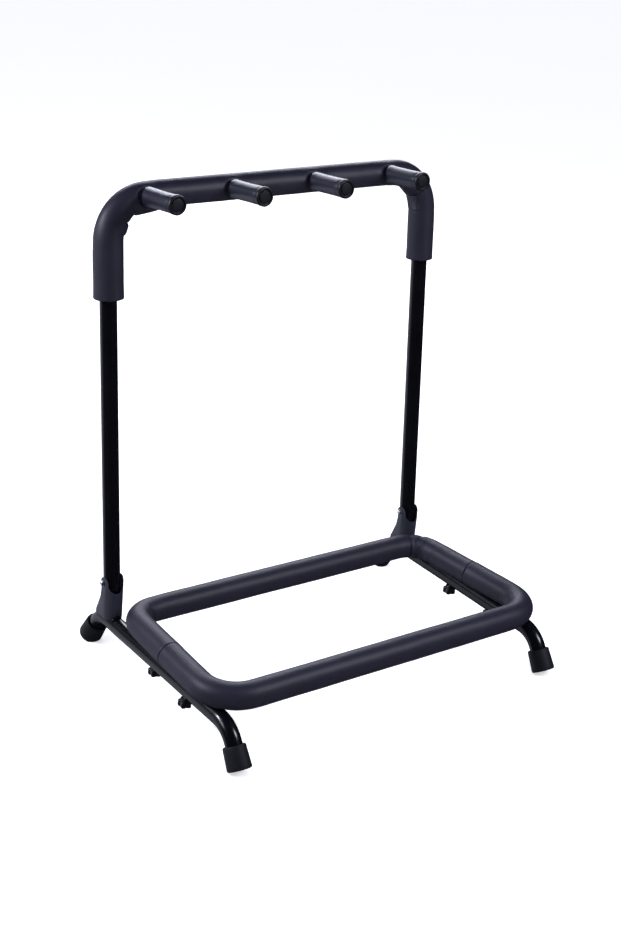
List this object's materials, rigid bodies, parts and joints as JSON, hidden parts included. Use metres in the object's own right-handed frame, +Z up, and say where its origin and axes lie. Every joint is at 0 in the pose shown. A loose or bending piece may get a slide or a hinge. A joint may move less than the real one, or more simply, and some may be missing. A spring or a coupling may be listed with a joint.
{
  "type": "guitar rack",
  "caption": "Free-standing tubular guitar rack: a foam-covered base loop on two bent legs, and a folding foam-covered upright frame with a row of padded neck rests.",
  "frame": {"origin": "middle of the rack's plan at floor level, with the frame upright", "axes": "+X to the right of someone facing the rack, -Y its front, +Z up"},
  "size_m": [0.6186, 0.4558, 0.716],
  "materials": {
    "black_paint": "gloss black powder coat",
    "zinc": "bright zinc plate",
    "rubber": "matte moulded rubber",
    "black_plastic": "satin moulded plastic",
    "foam": "soft closed-cell foam skin"
  },
  "bodies": {
    "base": {"left_leg_tube": "black_paint", "left_front_foot": "rubber", "left_rear_foot": "rubber", "left_hinge_bracket": "black_paint", "left_pivot_bolt": "zinc", "left_pivot_washer": "zinc", "left_pivot_nut": "black_paint", "left_rear_insert": "zinc", "left_front_insert": "zinc", "right_leg_tube": "black_paint", "right_front_foot": "rubber", "right_rear_foot": "rubber", "right_hinge_bracket": "black_paint", "right_pivot_bolt": "zinc", "right_pivot_washer": "zinc", "right_pivot_nut": "black_paint", "right_rear_insert": "zinc", "right_front_insert": "zinc", "rear_loop_tube": "black_paint", "rear_loop_foam": "foam", "front_loop_tube": "black_paint", "front_loop_foam": "foam"},
    "upright_frame": {"upright_tube": "black_paint", "upright_foam": "foam", "neck_rest_1": "black_paint", "neck_foam_1": "foam", "neck_cap_1": "black_plastic", "neck_rest_2": "black_paint", "neck_foam_2": "foam", "neck_cap_2": "black_plastic", "neck_rest_3": "black_paint", "neck_foam_3": "foam", "neck_cap_3": "black_plastic", "neck_rest_4": "black_paint", "neck_foam_4": "foam", "neck_cap_4": "black_plastic"},
    "left_rear_clamp": {"left_rear_knob": "black_plastic", "left_rear_stud": "zinc"},
    "left_front_clamp": {"left_front_knob": "black_plastic", "left_front_stud": "zinc"},
    "right_rear_clamp": {"right_rear_knob": "black_plastic", "right_rear_stud": "zinc"},
    "right_front_clamp": {"right_front_knob": "black_plastic", "right_front_stud": "zinc"}
  },
  "joints": [
    {"name": "upright_fold", "type": "hinge", "parent": "base", "child": "upright_frame", "pos_m": [0, 0.14634, 0.124], "axis": [1, 0, 0], "range_deg": [0, 96]},
    {"name": "left_rear_clamp_turn", "type": "hinge", "parent": "base", "child": "left_rear_clamp", "pos_m": [-0.2808, 0.01634, 0.0515], "axis": [0, 0, 1], "continuous": true},
    {"name": "left_front_clamp_turn", "type": "hinge", "parent": "base", "child": "left_front_clamp", "pos_m": [-0.28687, -0.07566, 0.0515], "axis": [0, 0, 1], "continuous": true},
    {"name": "right_rear_clamp_turn", "type": "hinge", "parent": "base", "child": "right_rear_clamp", "pos_m": [0.2808, 0.01634, 0.0515], "axis": [0, 0, 1], "continuous": true},
    {"name": "right_front_clamp_turn", "type": "hinge", "parent": "base", "child": "right_front_clamp", "pos_m": [0.28687, -0.07566, 0.0515], "axis": [0, 0, 1], "continuous": true}
  ]
}
